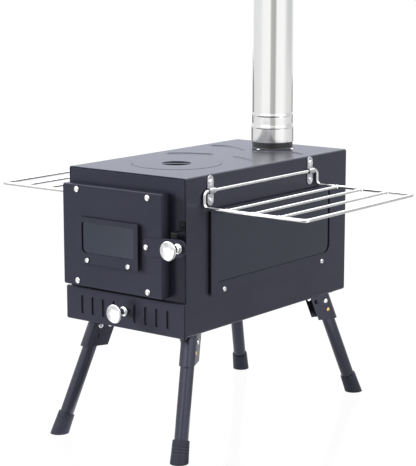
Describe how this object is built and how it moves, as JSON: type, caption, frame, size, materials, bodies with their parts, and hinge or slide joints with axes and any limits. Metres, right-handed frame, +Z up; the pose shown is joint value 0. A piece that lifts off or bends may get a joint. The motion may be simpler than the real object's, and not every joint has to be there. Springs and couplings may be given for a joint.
{
  "type": "wood stove",
  "caption": "Folding sheet-steel tent wood stove: glazed door and sides, ash drawer, wire side racks, cooking lid, stovepipe and splayed folding legs.",
  "frame": {"origin": "middle of the bounding box at ground level", "axes": "+Z up, -Y towards the door side, +X towards the latch side"},
  "size_m": [0.5384, 0.463, 0.737],
  "materials": {
    "body_paint": "matte heat-proof blue-black paint",
    "leg_paint": "semi-gloss black paint",
    "collar_paint": "semi-gloss black paint",
    "grate_iron": "rough dark iron",
    "pipe_steel": "bright drawn stainless steel",
    "rack_wire": "polished stainless wire",
    "knob_chrome": "turned and polished chrome",
    "zinc": "satin zinc plate",
    "button_brass": "polished brass",
    "window_glass": "dark heat-proof glass",
    "gasket": "matte black fibre strip",
    "foot_rubber": "matte moulded rubber"
  },
  "bodies": {
    "root": {"body_shell": "body_paint", "front_plate": "body_paint", "back_plate": "body_paint", "grate_rail_right": "body_paint", "grate_rail_left": "body_paint", "fire_grate": "grate_iron", "flue_collar": "collar_paint", "side_glass_right": "window_glass", "side_glass_left": "window_glass", "side_gasket_right": "gasket", "side_gasket_left": "gasket", "side_window_cover_right": "body_paint", "side_window_cover_left": "body_paint", "hinge_leaf_upper": "leg_paint", "hinge_leaf_lower": "leg_paint", "latch_keeper": "body_paint", "rack_clip_right_front": "zinc", "rack_clip_right_rear": "zinc", "rack_clip_left_front": "zinc", "rack_clip_left_rear": "zinc", "leg_bracket_front_left": "leg_paint", "leg_bracket_front_right": "leg_paint", "leg_bracket_rear_left": "leg_paint", "leg_bracket_rear_right": "leg_paint", "pivot_bolt_front_left": "zinc", "pivot_bolt_front_right": "zinc", "pivot_bolt_rear_left": "zinc", "pivot_bolt_rear_right": "zinc"},
    "door": {"door_shell": "body_paint", "door_liner": "body_paint", "door_gasket": "gasket", "door_glass": "window_glass", "door_window_cover": "body_paint", "door_hinge_leaf_upper": "leg_paint", "door_hinge_leaf_lower": "leg_paint"},
    "latch": {"latch_strap": "body_paint", "latch_rivet": "zinc", "door_knob": "knob_chrome"},
    "drawer": {"ash_tray": "body_paint", "drawer_front": "body_paint", "drawer_knob": "knob_chrome"},
    "rack_right": {"right_rack": "rack_wire"},
    "rack_left": {"left_rack": "rack_wire"},
    "lid": {"cook_lid": "body_paint"},
    "pipe": {"pipe_section": "pipe_steel"},
    "leg_front_left": {"leg_tube_front_left": "leg_paint", "foot_cap_front_left": "foot_rubber"},
    "button_front_left": {"snap_button_front_left": "button_brass"},
    "leg_front_right": {"leg_tube_front_right": "leg_paint", "foot_cap_front_right": "foot_rubber"},
    "button_front_right": {"snap_button_front_right": "button_brass"},
    "leg_rear_left": {"leg_tube_rear_left": "leg_paint", "foot_cap_rear_left": "foot_rubber"},
    "button_rear_left": {"snap_button_rear_left": "button_brass"},
    "leg_rear_right": {"leg_tube_rear_right": "leg_paint", "foot_cap_rear_right": "foot_rubber"},
    "button_rear_right": {"snap_button_rear_right": "button_brass"}
  },
  "joints": [
    {"name": "door_hinge", "type": "hinge", "parent": "root", "child": "door", "pos_m": [-0.10575, -0.18995, 0.28578], "axis": [0, 0, -1], "range_deg": [0, 170]},
    {"name": "latch_pivot", "type": "hinge", "parent": "door", "child": "latch", "pos_m": [0.0477, -0.20645, 0.28348], "axis": [0, 1, 0], "range_deg": [-5, 35]},
    {"name": "drawer_slide", "type": "slide", "parent": "root", "child": "drawer", "axis": [0, -1, 0], "range_m": [0, 0.25]},
    {"name": "right_rack_fold", "type": "hinge", "parent": "root", "child": "rack_right", "pos_m": [0.10528, -0.02145, 0.35648], "axis": [0, -1, 0], "range_deg": [0, 135]},
    {"name": "left_rack_fold", "type": "hinge", "parent": "root", "child": "rack_left", "pos_m": [-0.10528, -0.02145, 0.35648], "axis": [0, 1, 0], "range_deg": [0, 135]},
    {"name": "lid_lift", "type": "slide", "parent": "root", "child": "lid", "axis": [0, 0, 1], "range_m": [0, 0.04]},
    {"name": "pipe_lift", "type": "slide", "parent": "root", "child": "pipe", "axis": [0, 0, 1], "range_m": [0, 0.06]},
    {"name": "leg_fold_front_left", "type": "hinge", "parent": "root", "child": "leg_front_left", "pos_m": [-0.0825, -0.15845, 0.15098], "axis": [0.9063, -0.4226, 0], "range_deg": [0, 111.7]},
    {"name": "button_press_front_left", "type": "slide", "parent": "leg_front_left", "child": "button_front_left", "axis": [-0.9063, 0.4226, 0], "range_m": [-0.0025, 0], "stiffness_N_per_m": 200, "springref_m": 0.002},
    {"name": "leg_fold_front_right", "type": "hinge", "parent": "root", "child": "leg_front_right", "pos_m": [0.0825, -0.15845, 0.15098], "axis": [0.9063, 0.4226, 0], "range_deg": [0, 111.7]},
    {"name": "button_press_front_right", "type": "slide", "parent": "leg_front_right", "child": "button_front_right", "axis": [0.9063, 0.4226, 0], "range_m": [-0.0025, 0], "stiffness_N_per_m": 200, "springref_m": 0.002},
    {"name": "leg_fold_rear_left", "type": "hinge", "parent": "root", "child": "leg_rear_left", "pos_m": [-0.0825, 0.16355, 0.15098], "axis": [-0.9063, -0.4226, 0], "range_deg": [0, 111.7]},
    {"name": "button_press_rear_left", "type": "slide", "parent": "leg_rear_left", "child": "button_rear_left", "axis": [-0.9063, -0.4226, 0], "range_m": [-0.0025, 0], "stiffness_N_per_m": 200, "springref_m": 0.002},
    {"name": "leg_fold_rear_right", "type": "hinge", "parent": "root", "child": "leg_rear_right", "pos_m": [0.0825, 0.16355, 0.15098], "axis": [-0.9063, 0.4226, 0], "range_deg": [0, 111.7]},
    {"name": "button_press_rear_right", "type": "slide", "parent": "leg_rear_right", "child": "button_rear_right", "axis": [0.9063, -0.4226, 0], "range_m": [-0.0025, 0], "stiffness_N_per_m": 200, "springref_m": 0.002}
  ]
}
